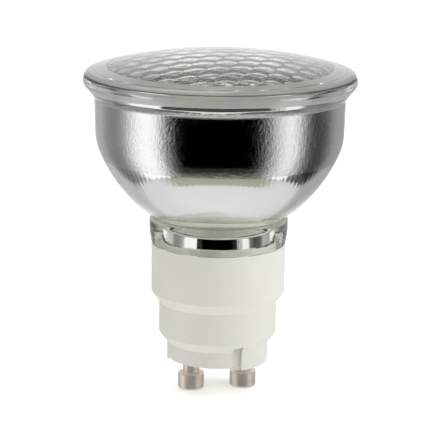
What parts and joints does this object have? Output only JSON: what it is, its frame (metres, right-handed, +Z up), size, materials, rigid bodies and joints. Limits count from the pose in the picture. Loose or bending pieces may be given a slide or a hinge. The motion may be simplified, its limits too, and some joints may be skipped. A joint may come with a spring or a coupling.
{
  "type": "metal halide reflector lamp",
  "caption": "Reflector lamp: glass bowl with a domed lenslet front, stepped ceramic twist-lock cap on contact pins, and a quartz bulb with a ceramic arc tube inside.",
  "frame": {"origin": "on the optical axis, at the ends of the contact pins", "axes": "+Z up the optical axis to the lens, X along the line of the pins"},
  "size_m": [0.0506, 0.0506, 0.0645],
  "materials": {
    "reflector_glass": "smooth pressed glass, aluminised inside",
    "lens_glass": "pressed glass, moulded lenslets inside",
    "quartz": "clear fused quartz",
    "adhesive": "translucent silicone",
    "cap_ceramic": "unglazed, matt",
    "cement": "rough cast cement",
    "pin_nickel": "satin nickel plate",
    "molybdenum": "drawn wire and foil",
    "lead_wire": "drawn wire",
    "getter_metal": "pressed grey powder strip",
    "arc_ceramic": "translucent sintered alumina",
    "salt": "condensed halide salts",
    "tungsten": "drawn tungsten",
    "niobium": "drawn niobium",
    "frit": "glassy sealing frit"
  },
  "bodies": {
    "root": {"reflector": "reflector_glass", "front_lens": "lens_glass", "lens_adhesive": "adhesive", "cap": "cap_ceramic", "cap_cement": "cement", "bulb_cement": "cement", "contact_pin_left": "pin_nickel", "contact_pin_right": "pin_nickel", "outer_bulb": "quartz", "foil_left": "molybdenum", "foil_right": "molybdenum", "outer_lead_left": "lead_wire", "outer_lead_right": "lead_wire", "short_inner_lead": "molybdenum", "long_inner_lead": "molybdenum", "getter": "getter_metal", "arc_tube": "arc_ceramic", "salt_dose": "salt", "electrode_lower": "tungsten", "electrode_upper": "tungsten", "niobium_rod_lower": "niobium", "niobium_rod_upper": "niobium", "frit_seal_lower": "frit", "frit_seal_upper": "frit"}
  },
  "joints": []
}
